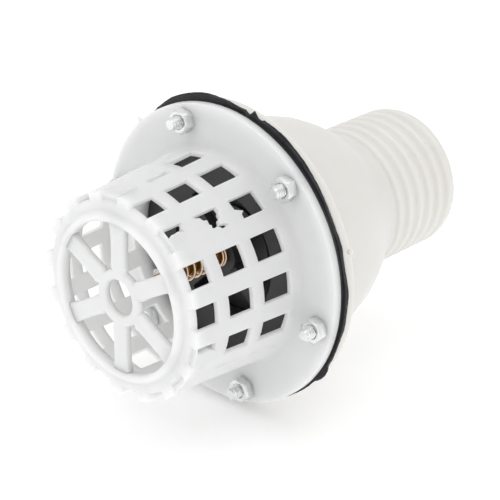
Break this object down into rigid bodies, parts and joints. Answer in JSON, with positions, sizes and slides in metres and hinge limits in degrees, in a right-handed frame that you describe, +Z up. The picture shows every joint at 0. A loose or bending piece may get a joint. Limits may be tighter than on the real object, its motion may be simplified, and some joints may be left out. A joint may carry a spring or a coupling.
{
  "type": "foot valve",
  "caption": "Plastic suction foot valve: a slotted strainer basket and a barbed hose tail bolted together round a gasket, with a spring-closed check disc inside.",
  "frame": {"origin": "on the valve's axis at the middle of the hose tail's barbs", "axes": "+X along the axis from the strainer towards the hose, +Z up across the axis with the valve lying on its side"},
  "size_m": [0.188, 0.1428, 0.1428],
  "materials": {
    "white_polypropylene": "satin moulded, slightly translucent",
    "black_rubber": "matt cut sheet",
    "black_plastic": "moulded",
    "zinc_steel": "bright zinc plate",
    "brass_rod": "drawn rod",
    "copper_wire": "drawn wire"
  },
  "bodies": {
    "valve_body": {"strainer_basket": "white_polypropylene", "hose_tail_body": "white_polypropylene", "flange_gasket": "black_rubber", "seat_plate": "black_plastic", "flange_bolt_1": "zinc_steel", "flange_bolt_2": "zinc_steel", "flange_bolt_3": "zinc_steel", "flange_bolt_4": "zinc_steel", "flange_bolt_5": "zinc_steel", "flange_bolt_6": "zinc_steel", "flange_nut_1": "zinc_steel", "flange_nut_2": "zinc_steel", "flange_nut_3": "zinc_steel", "flange_nut_4": "zinc_steel", "flange_nut_5": "zinc_steel", "flange_nut_6": "zinc_steel", "return_spring": "copper_wire"},
    "check_disc": {"valve_stem": "brass_rod", "disc_washer": "black_plastic", "disc_seal": "black_rubber", "disc_plate": "black_plastic", "disc_nut": "zinc_steel", "spring_washer": "zinc_steel", "stem_lock_nut": "zinc_steel"}
  },
  "joints": [
    {"name": "disc_lift", "type": "slide", "parent": "valve_body", "child": "check_disc", "axis": [1, 0, 0], "range_m": [0, 0.012], "stiffness_N_per_m": 900, "springref_m": -0.005, "deforming": ["return_spring"]}
  ]
}
